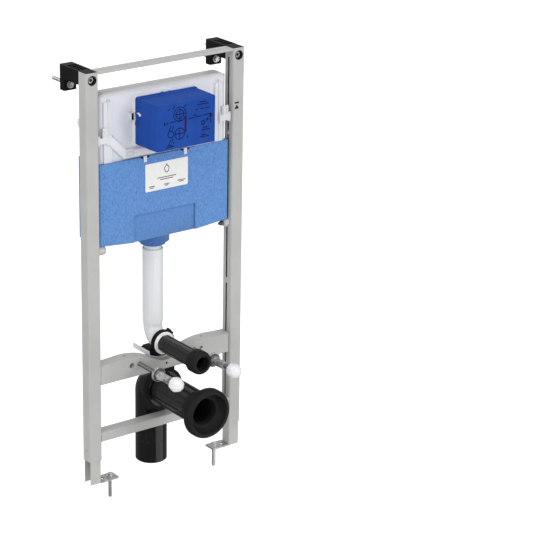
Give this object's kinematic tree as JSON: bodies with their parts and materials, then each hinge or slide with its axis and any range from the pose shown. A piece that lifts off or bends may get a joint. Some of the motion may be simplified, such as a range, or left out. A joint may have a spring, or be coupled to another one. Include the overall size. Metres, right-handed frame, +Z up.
{
  "type": "wall hung toilet frame",
  "caption": "Installation frame for a wall hung toilet: two posts with telescopic legs, crossbars, a concealed cistern in a foam jacket, flush pipe and waste bend.",
  "frame": {"origin": "centre of the left wall bracket's flat back face, where it bears on the wall", "axes": "+Y into the wall, +Z up, +X to the right seen from the pan's side"},
  "size_m": [0.5, 0.395, 1.2088],
  "materials": {
    "frame_paint": "light grey powder coat",
    "zinc": "zinc plated",
    "black_plastic": "moulded, satin",
    "white_plastic": "moulded, satin",
    "blue_foam": "moulded bead foam",
    "blue_plastic": "moulded, satin",
    "grey_plastic": "moulded",
    "white_rubber": "smooth",
    "black_pipe": "extruded, glossy",
    "black_rubber": "matt",
    "clear_plastic": "translucent"
  },
  "bodies": {
    "frame": {"left_post": "frame_paint", "right_post": "frame_paint", "top_rail": "frame_paint", "support_crossbar": "frame_paint", "lower_crossbar": "frame_paint", "left_wall_bracket": "black_plastic", "right_wall_bracket": "black_plastic", "left_adjusting_screw": "zinc", "right_adjusting_screw": "zinc", "left_wall_screw": "zinc", "right_wall_screw": "zinc", "cistern": "white_plastic", "insulation_jacket": "blue_foam", "jacket_hooks": "white_plastic", "access_shroud": "blue_plastic", "shroud_clips": "white_plastic", "left_cistern_clip": "white_plastic", "right_cistern_clip": "white_plastic", "left_support_stub": "grey_plastic", "right_support_stub": "grey_plastic", "flush_pipe": "white_plastic", "elbow_support": "white_plastic", "elbow_foot": "black_plastic", "flush_clamp": "black_plastic", "flush_seal_ring": "white_rubber", "flush_connector": "black_pipe", "flush_cone_seal": "black_rubber", "waste_elbow": "black_pipe", "waste_clip": "black_plastic", "waste_connector": "black_pipe", "waste_seal": "black_rubber", "left_stud": "zinc", "right_stud": "zinc", "left_stud_sleeve": "clear_plastic", "right_stud_sleeve": "clear_plastic", "left_stud_nut": "zinc", "right_stud_nut": "zinc", "left_stud_cap": "white_plastic", "right_stud_cap": "white_plastic"},
    "left_leg_foot": {"left_leg": "frame_paint", "left_foot_plate": "zinc", "left_floor_anchor": "zinc"},
    "right_leg_foot": {"right_leg": "frame_paint", "right_foot_plate": "zinc", "right_floor_anchor": "zinc"}
  },
  "joints": [
    {"name": "left_leg_slide", "type": "slide", "parent": "frame", "child": "left_leg_foot", "axis": [0, 0, -1], "range_m": [-0.062, 0.132]},
    {"name": "right_leg_slide", "type": "slide", "parent": "frame", "child": "right_leg_foot", "axis": [0, 0, -1], "range_m": [-0.062, 0.132]}
  ]
}
